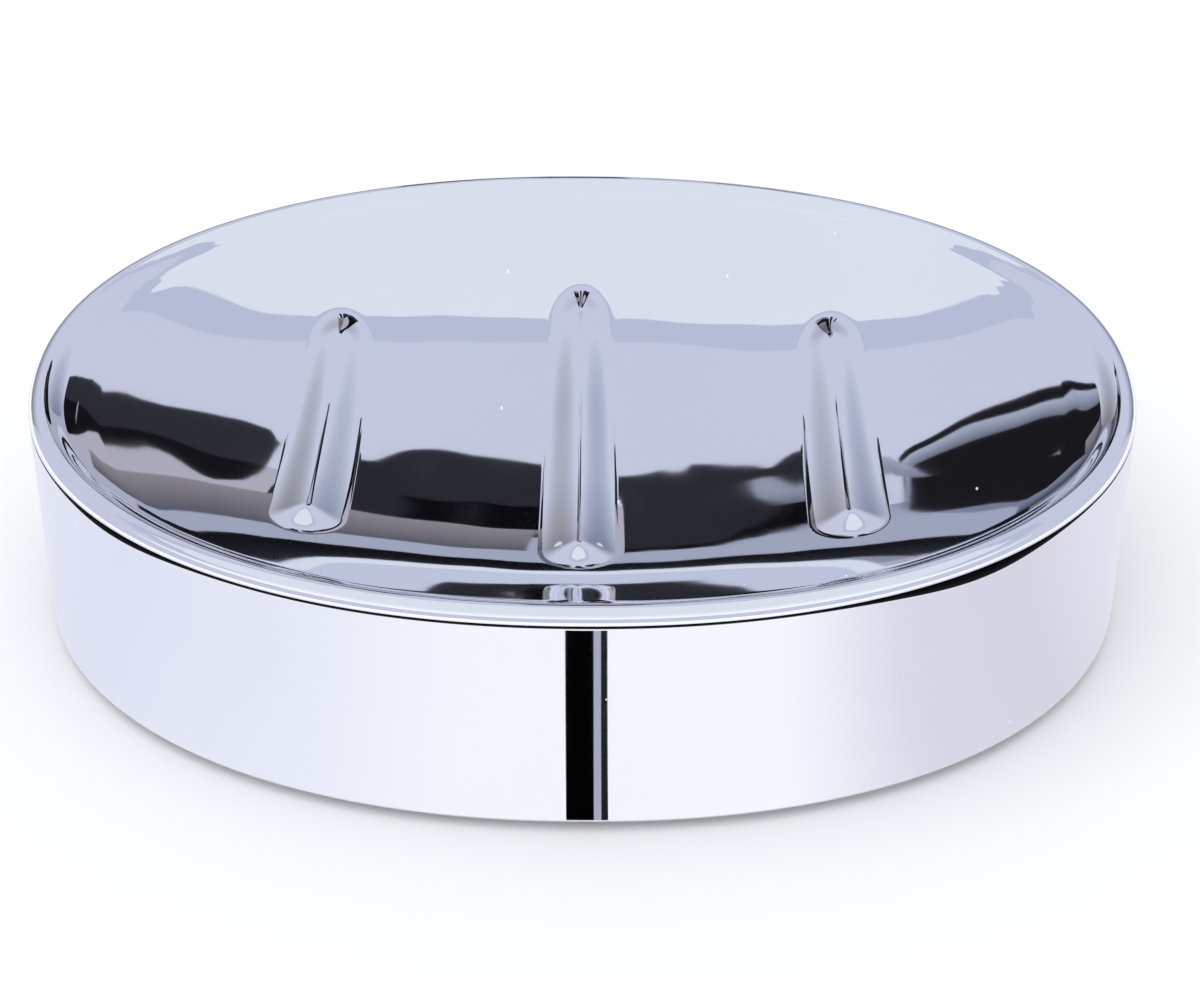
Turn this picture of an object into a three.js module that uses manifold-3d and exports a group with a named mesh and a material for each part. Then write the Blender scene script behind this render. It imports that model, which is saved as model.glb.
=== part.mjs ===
// Oval countertop soap dish. Millimetres, +Z up, front towards -Y.
// The origin is on the standing surface, under the middle of the oval.
// A pressed tray with three ribs sits in an oval steel wall that is closed below by a plate,
// and four push-in rubber feet hold the plate down on the wall's turned-in ledge.

import * as THREE from 'three';
import { mergeVertices, toCreasedNormals } from 'three/addons/utils/BufferGeometryUtils.js';
import Module from 'manifold-3d';

// Oval plan, measured at the outer face of the wall
const halfLength = 65;
const halfWidth = 48;
const ovalExponent = 2.14;

// Steel wall
const wallHeight = 27.6;
const wallSheet = 0.8;
const wallInnerBend = 0.4;
const wallEdgeBreak = 0.15;
const ledgeReach = 12;

// Pressed tray: rim bead, dish and ribs
const traySheet = 0.8;
const rimWidth = 3.6;
const rimRise = 1.7;
const rimFootRise = 0.52;
const crownShare = 0.47;
const bedDepth = 7.9;
const bedExponent = 2.8;
const ribWidth = 8.4;
const ribRise = 1.75;
const ribSpacing = 30.6;
const ribEndInset = 17;
const ribCrestExponent = 1.7;
const ribFootExponent = 1.7;

// Plate that closes the underside
const plateThickness = 1.5;

// Rubber feet
const footRadius = 4.6;
const footProud = 1;
const footEdge = 0.3;
const stemRadius = 2;
const headLip = 1.1;
const headHeight = 2.4;
const headTipShare = 0.55;
const footAngle = THREE.MathUtils.degToRad(42);

// Clearances and cutting
const seamGap = 0.3;
const fitGap = 0.3;
const overrun = 1;
const weldDistance = 0.0005;
const slopeProbe = 0.01;
const evenInsetShare = 0.75;

// Counts of flats on the round forms
const ovalSides = 96;
const beadSteps = 3;
const rollSteps = 2;
const bendSteps = 2;
const footSides = 20;
const tipSteps = 8;

// Where the tray's mesh has its lines, as shares of a rib's half width and of a plain stretch
const ribShares = [0.3, 0.55, 0.75, 0.9, 1];
const plainShares = [0.35, 0.7, 1];

// Levels and places that follow from the sizes
const wallBend = wallInnerBend + wallSheet;
const ledgeBottom = footProud;
const ledgeTop = ledgeBottom + wallSheet;
const plateTop = ledgeTop + plateThickness;
const seamLevel = ledgeBottom + wallHeight;
const lipLevel = seamLevel + seamGap;
const crownLevel = seamLevel + rimRise;
const rimFootLevel = seamLevel + rimFootRise;
const bedFloor = seamLevel - bedDepth;
const crownInset = rimWidth * crownShare;
const lipReach = rimWidth / 2;
const plateInset = wallBend + fitGap;
const footInset = (wallBend + ledgeReach) / 2;
const coreLength = halfLength - halfWidth * evenInsetShare;
const coreWidth = halfWidth - halfWidth * evenInsetShare;
const bedLength = halfLength - rimWidth;
const bedWidth = halfWidth - rimWidth;
const ribHalf = ribWidth / 2;
const ribPlaces = [-ribSpacing, 0, ribSpacing];
const headRadius = stemRadius + headLip;
const creaseAngle = THREE.MathUtils.degToRad(35);

const polishedWall = new THREE.MeshStandardMaterial({ color: 0xe4e8f2, roughness: 0.06, metalness: 1 });
const polishedTray = new THREE.MeshStandardMaterial({ color: 0xd2d7e6, roughness: 0.08, metalness: 1 });
const plateFinish = new THREE.MeshStandardMaterial({ color: 0x2b2d31, roughness: 0.6, metalness: 0 });
const footRubber = new THREE.MeshStandardMaterial({ color: 0x17181a, roughness: 0.85, metalness: 0 });

const wasm = await Module();
wasm.setup();

// Half width of the ring whose half length is given. Near the wall every ring keeps one inset all
// round, and inside the core the rings shrink evenly to the middle.
function ringHalfWidth(ringHalfLength) {
  if (ringHalfLength > coreLength) {
    return ringHalfLength - (halfLength - halfWidth);
  }
  return ringHalfLength * (coreWidth / coreLength);
}

// Point of a ring at an angle about the middle
function ringPoint(ringHalfLength, angle) {
  const bulge = (wave) => Math.sign(wave) * Math.abs(wave) ** (2 / ovalExponent);
  return new THREE.Vector2(
    ringHalfLength * bulge(Math.cos(angle)),
    ringHalfWidth(ringHalfLength) * bulge(Math.sin(angle)),
  );
}

// Height of the dish's upper face without its ribs. Its level lines are the foot of the rim, shrunk
// in proportion to the middle, and each lies at a power of its share.
function bedTop(x, y) {
  const lengthShare = Math.abs(x) / bedLength;
  const widthShare = Math.abs(y) / bedWidth;
  const reachShare = (lengthShare ** ovalExponent + widthShare ** ovalExponent) ** (1 / ovalExponent);
  return bedFloor + (rimFootLevel - bedFloor) * reachShare ** bedExponent;
}

// Height of the dish's lower face, one sheet below the upper face measured square to it
function bedUnderside(x, y) {
  const level = bedTop(x, y);
  const fallAlong = (bedTop(Math.abs(x) + slopeProbe, y) - level) / slopeProbe;
  const fallAcross = (bedTop(x, Math.abs(y) + slopeProbe) - level) / slopeProbe;
  return level - traySheet * Math.hypot(1, fallAlong, fallAcross);
}

// Points of a quarter ellipse, from its side at the centre's height to its top, or back
function quarter(centreInset, centreLevel, insetRadius, rise, steps, towardsTop) {
  const points = [];
  for (let step = 0; step <= steps; step += 1) {
    const turn = (Math.PI / 2) * (towardsTop ? step / steps : 1 - step / steps);
    points.push([centreInset - insetRadius * Math.cos(turn), centreLevel + rise * Math.sin(turn)]);
  }
  return points;
}

// Bare closed surface: shared corners merged and collapsed triangles dropped
function weld(geometry) {
  const bare = geometry.clone();
  bare.deleteAttribute('normal');
  bare.deleteAttribute('uv');
  const welded = mergeVertices(bare, weldDistance);
  const corners = welded.index.array;
  const kept = [];
  for (let i = 0; i < corners.length; i += 3) {
    const [a, b, c] = corners.slice(i, i + 3);
    if (a !== b && b !== c && c !== a) {
      kept.push(a, b, c);
    }
  }
  welded.setIndex(kept);
  return welded;
}

// Turns a profile of [inset, height] points and draws the turned form out to the oval plan
function ovalForm(profile) {
  const points = profile.map(([inset, height]) => new THREE.Vector2(halfLength - inset, height));
  const form = weld(new THREE.LatheGeometry(points, ovalSides).rotateX(Math.PI / 2));
  const place = form.attributes.position;
  for (let i = 0; i < place.count; i += 1) {
    const ringHalfLength = Math.hypot(place.getX(i), place.getY(i));
    const drawn = ringPoint(ringHalfLength, Math.atan2(place.getY(i), place.getX(i)));
    place.setXY(i, drawn.x, drawn.y);
  }
  return form;
}

function toSolid(geometry) {
  return new wasm.Manifold(new wasm.Mesh({
    numProp: 3,
    vertProperties: new Float32Array(geometry.attributes.position.array),
    triVerts: new Uint32Array(geometry.index.array),
  }));
}

function toGeometry(solid) {
  const mesh = solid.getMesh();
  const geometry = new THREE.BufferGeometry();
  geometry.setAttribute('position', new THREE.BufferAttribute(mesh.vertProperties, 3));
  geometry.setIndex(new THREE.BufferAttribute(mesh.triVerts, 1));
  return geometry;
}

// The four places of the feet on the ledge
function footPlaces() {
  const corner = ringPoint(halfLength - footInset, footAngle);
  return [
    { name: 'foot_front_left', x: -corner.x, y: -corner.y },
    { name: 'foot_front_right', x: corner.x, y: -corner.y },
    { name: 'foot_back_left', x: -corner.x, y: corner.y },
    { name: 'foot_back_right', x: corner.x, y: corner.y },
  ];
}

// Cuts the stems' holes through a piece that lies between two levels
function cutStemHoles(solid, lowLevel, highLevel) {
  const depth = highLevel - lowLevel + 2 * overrun;
  let cut = solid;
  for (const { x, y } of footPlaces()) {
    const hole = new THREE.CylinderGeometry(stemRadius + fitGap, stemRadius + fitGap, depth, footSides);
    hole.rotateX(Math.PI / 2).translate(x, y, (lowLevel + highLevel) / 2);
    cut = cut.subtract(toSolid(weld(hole)));
  }
  return cut;
}

// Wall of bent sheet: a ledge turned in below, and a narrow lip turned in under the tray's rim
function sideBand() {
  const outside = [
    [ledgeReach, ledgeBottom],
    ...bendPoints(wallBend, ledgeBottom + wallBend, wallBend),
    [0, seamLevel - wallEdgeBreak],
    [wallEdgeBreak, seamLevel],
    [lipReach, seamLevel],
  ];
  const inside = [
    [lipReach, seamLevel - wallSheet],
    [wallSheet, seamLevel - wallSheet],
    ...bendPoints(wallBend, ledgeBottom + wallBend, wallInnerBend).reverse(),
    [ledgeReach, ledgeTop],
  ];
  const ring = ovalForm([...outside, ...inside, outside[0]]);
  return toGeometry(cutStemHoles(toSolid(ring), ledgeBottom, ledgeTop));
}

// Points of the sheet's bend from the ledge up to the wall
function bendPoints(centreInset, centreLevel, radius) {
  return quarter(centreInset, centreLevel, radius, -radius, bendSteps, false);
}

// How far a ring reaches across the oval at a distance along it
function ringReach(ringHalfLength, x) {
  const lengthShare = Math.min(Math.abs(x) / ringHalfLength, 1);
  return ringHalfWidth(ringHalfLength) * (1 - lengthShare ** ovalExponent) ** (1 / ovalExponent);
}

// How far the rib at x reaches from the middle, so that its end keeps its inset from the wall
function ribReach(x) {
  return ringReach(halfLength - ribEndInset, x);
}

// How much of a rib's full rise over the dish the metal stands up at a point: ridges with round
// ends and soft feet
function ribShare(x, y, half) {
  let share = 0;
  for (const place of ribPlaces) {
    const past = Math.max(Math.abs(y) - (ribReach(place) - ribHalf), 0);
    const awayShare = Math.min(Math.hypot(x - place, past) / half, 1);
    share = Math.max(share, (1 - awayShare ** ribCrestExponent) ** ribFootExponent);
  }
  return share;
}

// Height of the tray's upper face inside the rim
function trayTop(x, y) {
  return bedTop(x, y) + ribRise * ribShare(x, y, ribHalf);
}

// Height of the tray's lower face inside the rim. The ribs are hollow from below.
function trayUnderside(x, y) {
  return bedUnderside(x, y) + ribRise * ribShare(x, y, ribHalf - traySheet);
}

// Distances of a mesh column's lines from the middle, out to the foot of the rim
function halfRows(x, reach) {
  const straight = reach - ribHalf;
  return [
    ...plainShares.map((share) => straight * share),
    ...ribShares.map((share) => straight + ribHalf * share),
    ...plainShares.map((share) => THREE.MathUtils.lerp(reach, ringReach(bedLength, x), share)),
  ];
}

// Mesh columns of one half of the dish, from the middle rib to the tip of the oval
function halfColumns() {
  const middleReach = ribReach(0);
  const sideReach = ribReach(ribSpacing);
  const between = ribSpacing - ribWidth;
  const ribbed = [
    { x: 0, reach: middleReach },
    ...ribShares.map((share) => ({ x: ribHalf * share, reach: middleReach })),
    ...plainShares.slice(0, -1).map((share) => ({
      x: ribHalf + between * share,
      reach: THREE.MathUtils.lerp(middleReach, sideReach, share),
    })),
    ...ribShares.toReversed().map((share) => ({ x: ribSpacing - ribHalf * share, reach: sideReach })),
    { x: ribSpacing, reach: sideReach },
    ...ribShares.map((share) => ({ x: ribSpacing + ribHalf * share, reach: sideReach })),
  ].map(({ x, reach }) => ({ x, rows: halfRows(x, reach) }));

  const outermost = ribbed.at(-1);
  const tips = [];
  for (let step = 1; step <= tipSteps; step += 1) {
    const { x } = ringPoint(bedLength, bedAngle(outermost.x) * (1 - step / tipSteps));
    const shrink = ringReach(bedLength, x) / ringReach(bedLength, outermost.x);
    tips.push({ x, rows: outermost.rows.map((row) => row * shrink) });
  }
  return [...ribbed, ...tips];
}

// Angle about the middle at which the foot of the rim stands at x
function bedAngle(x) {
  return Math.acos(Math.sign(x) * (Math.abs(x) / bedLength) ** (ovalExponent / 2));
}

// Plan of the dish's mesh: columns from left to right, each a list of points from front to back
function dishPlan() {
  const half = halfColumns();
  const columns = [...half.slice(1).map(({ x, rows }) => ({ x: -x, rows })).reverse(), ...half];
  return columns.map(({ x, rows }) => (
    [...rows.map((row) => -row).reverse(), 0, ...rows].map((y) => new THREE.Vector2(x, y))
  ));
}

// Rings of the rim from the dish's upper face, over the bead and its lip, to the lower face
function rimRings() {
  const beadRise = crownLevel - lipLevel;
  const footRise = crownLevel - rimFootLevel;
  const inner = quarter(crownInset, rimFootLevel, crownInset - rimWidth, footRise, rollSteps, true);
  const outer = quarter(crownInset, lipLevel, crownInset, beadRise, beadSteps, false);
  const roll = quarter(crownInset, lipLevel, crownInset - traySheet, beadRise - traySheet, rollSteps, true);
  return [...inner.slice(1), ...outer.slice(1), ...roll];
}

// Dish with its rim bead rolled over the wall's lip, and hollow ribs pressed up from below
function soapTray() {
  const plan = dishPlan();
  const places = [];
  const corners = [];
  const addPoint = (x, y, height) => places.push(x, y, height) / 3 - 1;
  const addQuad = (a, b, c, d) => corners.push(a, b, c, a, c, d);
  const addFace = (heightAt) => plan.map((column) => (
    column.map(({ x, y }) => addPoint(x, y, heightAt(x, y)))
  ));

  const top = addFace(trayTop);
  const underside = addFace(trayUnderside);
  for (let column = 1; column < plan.length; column += 1) {
    for (let row = 1; row < plan[column].length; row += 1) {
      const around = [[column - 1, row - 1], [column, row - 1], [column, row], [column - 1, row]];
      addQuad(...around.map(([i, j]) => top[i][j]));
      addQuad(...around.toReversed().map(([i, j]) => underside[i][j]));
    }
  }

  const front = plan.slice(0, -1).map(([{ x }], column) => ({ column, row: 0, angle: -bedAngle(x) }));
  const back = plan.slice(1).map(([{ x }], place) => ({ column: place + 1, row: -1, angle: bedAngle(x) }));
  const edge = [...front, ...back.reverse()];
  const loops = [
    edge.map(({ column, row }) => top[column].at(row)),
    ...rimRings().map(([inset, height]) => edge.map(({ angle }) => {
      const { x, y } = ringPoint(halfLength - inset, angle);
      return addPoint(x, y, height);
    })),
    edge.map(({ column, row }) => underside[column].at(row)),
  ];
  for (let loop = 1; loop < loops.length; loop += 1) {
    for (let spot = 0; spot < edge.length; spot += 1) {
      const next = (spot + 1) % edge.length;
      addQuad(loops[loop - 1][spot], loops[loop][spot], loops[loop][next], loops[loop - 1][next]);
    }
  }

  const tray = new THREE.BufferGeometry();
  tray.setAttribute('position', new THREE.Float32BufferAttribute(places, 3));
  tray.setIndex(corners);
  return weld(tray);
}

// Flat plate that lies on the ledge
function basePlate() {
  const plate = ovalForm([
    [halfLength, ledgeTop],
    [plateInset, ledgeTop],
    [plateInset, plateTop],
    [halfLength, plateTop],
  ]);
  return toGeometry(cutStemHoles(toSolid(plate), ledgeTop, plateTop));
}

// Rubber foot: a disc under the ledge, a stem through ledge and plate, and a head that holds
function footGeometry() {
  const profile = [
    [0, 0],
    [footRadius - footEdge, 0],
    [footRadius, footEdge],
    [footRadius, ledgeBottom],
    [stemRadius, ledgeBottom],
    [stemRadius, plateTop],
    [headRadius, plateTop],
    [headRadius, plateTop + headHeight / 3],
    [headRadius * headTipShare, plateTop + headHeight],
    [0, plateTop + headHeight],
  ].map(([radius, height]) => new THREE.Vector2(radius, height));
  return weld(new THREE.LatheGeometry(profile, footSides).rotateX(Math.PI / 2));
}

function piece(name, geometry, material) {
  const mesh = new THREE.Mesh(toCreasedNormals(geometry, creaseAngle), material);
  mesh.name = name;
  return mesh;
}

const soapDish = new THREE.Group();
soapDish.add(piece('side_band', sideBand(), polishedWall));
soapDish.add(piece('soap_tray', soapTray(), polishedTray));
soapDish.add(piece('base_plate', basePlate(), plateFinish));
for (const { name, x, y } of footPlaces()) {
  const foot = piece(name, footGeometry(), footRubber);
  foot.position.set(x, y, 0);
  soapDish.add(foot);
}

export default soapDish;
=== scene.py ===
"""Countertop soap dish of mirror-polished steel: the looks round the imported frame.

A band of bright steel carries a pressed oval tray with three raised ribs. A moulded plate closes
the underside and four rubber feet keep it off the counter. Every piece stands where the frame
says, and the studio round it holds the boards and soft boxes that the polished steel mirrors.
"""

from __future__ import annotations

import logging
import math
from dataclasses import dataclass, replace
from enum import Enum
from functools import cached_property
from typing import Callable, Iterator, Sequence

import bmesh
import bpy
import numpy as np
from mathutils import Matrix, Vector, noise


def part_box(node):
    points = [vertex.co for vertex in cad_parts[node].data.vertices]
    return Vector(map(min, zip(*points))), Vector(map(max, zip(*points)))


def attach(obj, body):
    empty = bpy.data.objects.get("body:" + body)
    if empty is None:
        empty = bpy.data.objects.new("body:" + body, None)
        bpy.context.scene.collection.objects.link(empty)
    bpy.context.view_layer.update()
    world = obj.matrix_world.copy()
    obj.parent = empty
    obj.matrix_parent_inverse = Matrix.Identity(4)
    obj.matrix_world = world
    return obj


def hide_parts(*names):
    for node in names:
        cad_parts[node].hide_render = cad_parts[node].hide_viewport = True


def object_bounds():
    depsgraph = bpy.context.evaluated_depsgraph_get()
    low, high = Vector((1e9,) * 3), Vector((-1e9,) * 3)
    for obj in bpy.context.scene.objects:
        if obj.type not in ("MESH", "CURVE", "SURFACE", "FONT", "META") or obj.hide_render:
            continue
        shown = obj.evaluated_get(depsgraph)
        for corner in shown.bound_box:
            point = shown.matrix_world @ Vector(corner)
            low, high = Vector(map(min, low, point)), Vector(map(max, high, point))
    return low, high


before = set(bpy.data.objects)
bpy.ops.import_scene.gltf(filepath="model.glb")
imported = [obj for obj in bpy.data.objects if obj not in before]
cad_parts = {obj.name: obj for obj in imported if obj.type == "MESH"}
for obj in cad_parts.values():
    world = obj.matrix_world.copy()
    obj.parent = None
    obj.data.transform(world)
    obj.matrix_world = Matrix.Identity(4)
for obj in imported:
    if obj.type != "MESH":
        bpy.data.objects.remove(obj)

MM = 0.001
SPARE = 1 * MM
BODY = "root"
CAD_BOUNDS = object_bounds()
LOG = logging.getLogger("soap_dish")

Colour = tuple[float, float, float]
Pairs = tuple[tuple[float, float], ...]
Triples = tuple[tuple[float, float, float], ...]


class Slot(Enum):
    """The record's material slots."""

    WALL = "polished_wall"
    TRAY = "polished_tray"
    PLASTIC = "base_plastic"
    RUBBER = "foot_rubber"


# Helpers for modelling with operators


def deselect() -> None:
    """Leaves object mode with nothing selected and nothing active."""
    if bpy.context.object and bpy.context.object.mode != "OBJECT":
        bpy.ops.object.mode_set(mode="OBJECT")
    bpy.ops.object.select_all(action="DESELECT")
    bpy.context.view_layer.objects.active = None


def activate(piece: bpy.types.Object) -> None:
    """Makes one piece the only selected and active object."""
    deselect()
    piece.select_set(True)
    bpy.context.view_layer.objects.active = piece


def edit(piece: bpy.types.Object) -> bmesh.types.BMesh:
    """Enters edit mode on a piece.

    Args:
        piece: The object to edit.

    Returns:
        The edit mesh.
    """
    activate(piece)
    bpy.ops.object.mode_set(mode="EDIT")
    return bmesh.from_edit_mesh(piece.data)


def leave_edit() -> None:
    """Goes back to object mode."""
    bpy.ops.object.mode_set(mode="OBJECT")


def apply_modifier(piece: bpy.types.Object, kind: str, **settings: object) -> None:
    """Adds one modifier and applies it.

    Args:
        piece: The object to change.
        kind: Blender's name of the modifier type.
        settings: Values for the modifier's own properties.
    """
    activate(piece)
    modifier = piece.modifiers.new(kind.title(), kind)
    for name, value in settings.items():
        setattr(modifier, name, value)
    bpy.ops.object.modifier_apply(modifier=modifier.name)


def smooth(piece: bpy.types.Object, angle: float = 40) -> None:
    """Shades a piece smooth, apart from edges sharper than the angle in degrees."""
    activate(piece)
    bpy.ops.object.shade_smooth_by_angle(angle=math.radians(angle))


def mend(piece: bpy.types.Object, distance: float = 0.001 * MM) -> None:
    """Merges doubled points and turns the faces outwards.

    Args:
        piece: The object to clean.
        distance: Points closer than this become one.
    """
    edit(piece)
    bpy.ops.mesh.select_all(action="SELECT")
    bpy.ops.mesh.remove_doubles(threshold=distance)
    bpy.ops.mesh.normals_make_consistent(inside=False)
    leave_edit()


def add_grid(name: str, columns: int, rows: int) -> bpy.types.Object:
    """Adds a flat grid from -1 to 1 both ways.

    Args:
        name: The object's name.
        columns: Its faces along X.
        rows: Its faces along Y.

    Returns:
        The grid.
    """
    deselect()
    bpy.ops.mesh.primitive_grid_add(x_subdivisions=columns, y_subdivisions=rows, size=2)
    made = bpy.context.object
    made.name = made.data.name = name
    return made


def read_points(piece: bpy.types.Object) -> np.ndarray:
    """All vertex positions of a piece, one row each."""
    points = np.empty(len(piece.data.vertices) * 3)
    piece.data.vertices.foreach_get("co", points)
    return points.reshape(-1, 3)


def write_points(piece: bpy.types.Object, points: np.ndarray) -> None:
    """Gives a piece's vertices new positions, one row each."""
    piece.data.vertices.foreach_set("co", points.ravel())
    piece.data.update()


def dress(piece: bpy.types.Object, slot: Slot, *nodes: str) -> None:
    """Lets a finished piece ride on the body and stand for its CAD nodes.

    Args:
        piece: The finished piece.
        slot: The record's slot for the piece's finish; not used.
        nodes: The CAD nodes that it replaces.
    """
    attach(piece, BODY)
    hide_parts(*nodes)
    LOG.info("%s: %d faces", piece.name, len(piece.data.polygons))


def bore(piece: bpy.types.Object, places: Sequence[Vector], radius: float, low: float, high: float) -> None:
    """Cuts round holes through a flat part of a piece, with a drill that goes past both of its faces.

    Args:
        piece: The piece to bore.
        places: The holes' middles, of which x and y count.
        radius: The holes' radius.
        low: Height of the lower face.
        high: Height of the upper face.
    """
    start, end = low - SPARE, high + SPARE
    for place in places:
        deselect()
        bpy.ops.mesh.primitive_cylinder_add(
            vertices=32, radius=radius, depth=end - start, location=(place.x, place.y, (start + end) / 2)
        )
        drill = bpy.context.object
        apply_modifier(piece, "BOOLEAN", operation="DIFFERENCE", solver="EXACT", object=drill)
        bpy.data.objects.remove(drill)


# The plan


@dataclass(frozen=True)
class OvalPlan:
    """The dish seen from above: nested superellipses, evenly inset down to a short core.

    Attributes:
        half_length: Half the dish's length, along X.
        half_width: Half the dish's width, along Y.
        exponent: The superellipse's exponent.
        core_length: Half length of the ring inside which rings shrink in proportion.
        core_width: Half width of that ring.
    """

    half_length: float
    half_width: float
    exponent: float = 2.14
    core_length: float = 29 * MM
    core_width: float = 12 * MM

    def shrunk_from(self, inset: float) -> OvalPlan:
        """The same outline with rings that shrink in proportion from that inset on."""
        return replace(self, core_length=self.half_length - inset, core_width=self.half_width - inset)

    def ring_half_width(self, reach: float) -> float:
        """Half width of the ring whose half length is reach."""
        if reach > self.core_length:
            return reach - (self.half_length - self.half_width)
        return reach * self.core_width / self.core_length

    def point(self, inset: float, turn: float) -> tuple[float, float]:
        """A point of one ring.

        Args:
            inset: How far the ring lies inside the outline.
            turn: The point's parameter round the ring, in radians.

        Returns:
            Its x and y.
        """
        reach = self.half_length - inset
        power = 2 / self.exponent
        cosine, sine = math.cos(turn), math.sin(turn)
        x = reach * math.copysign(abs(cosine) ** power, cosine)
        y = self.ring_half_width(reach) * math.copysign(abs(sine) ** power, sine)
        return x, y

    def turn_of(self, x: float, y: float) -> float:
        """The parameter of the ring point that lies in the direction of x and y, by the outline's sides."""
        power = self.exponent / 2
        across = math.copysign(abs(y / self.half_width) ** power, y)
        along = math.copysign(abs(x / self.half_length) ** power, x)
        return math.atan2(across, along)

    def inset_at(self, x: np.ndarray, y: np.ndarray) -> np.ndarray:
        """How far inside the outline points lie.

        Args:
            x: Their x values.
            y: Their y values.

        Returns:
            The inset of the ring through each point.
        """
        low = np.full(x.shape, 1e-9)
        high = np.full(x.shape, self.half_length)
        for _ in range(44):
            reach = (low + high) / 2
            width = np.where(
                reach > self.core_length,
                reach - (self.half_length - self.half_width),
                reach * self.core_width / self.core_length,
            )
            outside = (np.abs(x) / reach) ** self.exponent + (np.abs(y) / width) ** self.exponent > 1
            low = np.where(outside, reach, low)
            high = np.where(outside, high, reach)
        return self.half_length - high

    def ring_reach(self, inset: float, x: float) -> float:
        """How far in y the ring of that inset goes at x."""
        reach = self.half_length - inset
        share = 1 - (abs(x) / reach) ** self.exponent
        return self.ring_half_width(reach) * max(share, 0) ** (1 / self.exponent)


class OvalSkin:
    """A skin drawn ring by ring round the oval: a circle primitive, then one extrusion a ring."""

    def __init__(self, name: str, plan: OvalPlan, sides: int, inset: float, level: float) -> None:
        """Starts the skin with its first ring.

        Args:
            name: The piece's name.
            plan: The oval that its rings follow.
            sides: How many points a ring has.
            inset: The first ring's inset.
            level: The first ring's height.
        """
        deselect()
        bpy.ops.mesh.primitive_circle_add(vertices=sides, radius=plan.half_length, fill_type="NOTHING")
        self.piece = bpy.context.object
        self.piece.name = self.piece.data.name = name
        self.plan = plan
        self.mesh = edit(self.piece)
        self.turn = self.mesh.verts.layers.float.new("turn")
        for vertex in self.mesh.verts:
            vertex[self.turn] = math.atan2(vertex.co.y, vertex.co.x)
            vertex.select = True
        self.mesh.select_flush(True)
        self._place(inset, level)

    def _place(self, inset: float, level: float, dip: Callable[[float], float] | None = None) -> None:
        """Puts the selected ring on the plan, lowered by dip at each turn."""
        for vertex in self.mesh.verts:
            if vertex.select:
                turn = vertex[self.turn]
                lowered = level - (dip(turn) if dip else 0)
                vertex.co = (*self.plan.point(inset, turn), lowered)

    def ring(self, inset: float, level: float, dip: Callable[[float], float] | None = None) -> None:
        """Extrudes the last ring to a new place.

        Args:
            inset: The new ring's inset.
            level: Its height.
            dip: How far the ring is lowered at a turn, or none.
        """
        bpy.ops.mesh.extrude_edges_move()
        self.mesh = bmesh.from_edit_mesh(self.piece.data)
        self.turn = self.mesh.verts.layers.float["turn"]
        self._place(inset, level, dip)

    def close_middle(self) -> None:
        """Closes the last ring with a face."""
        bpy.ops.mesh.edge_face_add()

    def done(self) -> bpy.types.Object:
        """Ends the drawing and returns the piece with clean normals."""
        self.mesh = bmesh.from_edit_mesh(self.piece.data)
        self.mesh.verts.layers.float.remove(self.mesh.verts.layers.float["turn"])
        leave_edit()
        mend(self.piece)
        return self.piece


def spaced(stops: Sequence[float], cells: Sequence[float]) -> list[float]:
    """Even lines from stop to stop.

    Args:
        stops: Where the spacing changes.
        cells: About how far apart the lines lie in each span.

    Returns:
        The lines, the first and the last stop included.
    """
    lines = [stops[0]]
    for start, end, cell in zip(stops, stops[1:], cells):
        count = max(2, round((end - start) / cell))
        lines += [start + (end - start) * step / count for step in range(1, count + 1)]
    return lines


def arc(steps: int, start: float, end: float) -> Iterator[float]:
    """Angles in radians from start to end in degrees, without the first one."""
    for step in range(1, steps + 1):
        yield math.radians(start + (end - start) * step / steps)


# Node groups that several finishes share


Wire = tuple[bpy.types.Node, str | int, bpy.types.Node, str | int]


def link(tree: bpy.types.NodeTree, *wires: Wire) -> None:
    """Links nodes of a tree, each wire given as a node and its output, then a node and its input."""
    for source, output, target, entry in wires:
        tree.links.new(source.outputs[output], target.inputs[entry])


class EffectGroup:
    """A shader node group with named sockets, built once."""

    name = "effect"

    def tree(self) -> bpy.types.NodeTree:
        """The group's tree, made at the first call."""
        made = bpy.data.node_groups.get(self.name)
        if made is None:
            made = bpy.data.node_groups.new(self.name, "ShaderNodeTree")
            self.build(made)
        return made

    def build(self, tree: bpy.types.NodeTree) -> None:
        """Fills the tree."""
        raise NotImplementedError

    @staticmethod
    def sockets(tree: bpy.types.NodeTree, output: str, **inputs: float) -> None:
        """Gives the group its place input, its number inputs and its output.

        Args:
            tree: The group's tree.
            output: The output's name.
            inputs: Defaults of the number inputs, underscores standing for spaces.
        """
        new = tree.interface.new_socket
        new("Vector", in_out="INPUT", socket_type="NodeSocketVector")
        for name, value in inputs.items():
            new(name.replace("_", " "), in_out="INPUT", socket_type="NodeSocketFloat").default_value = value
        new(output, in_out="OUTPUT", socket_type="NodeSocketFloat")


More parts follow.
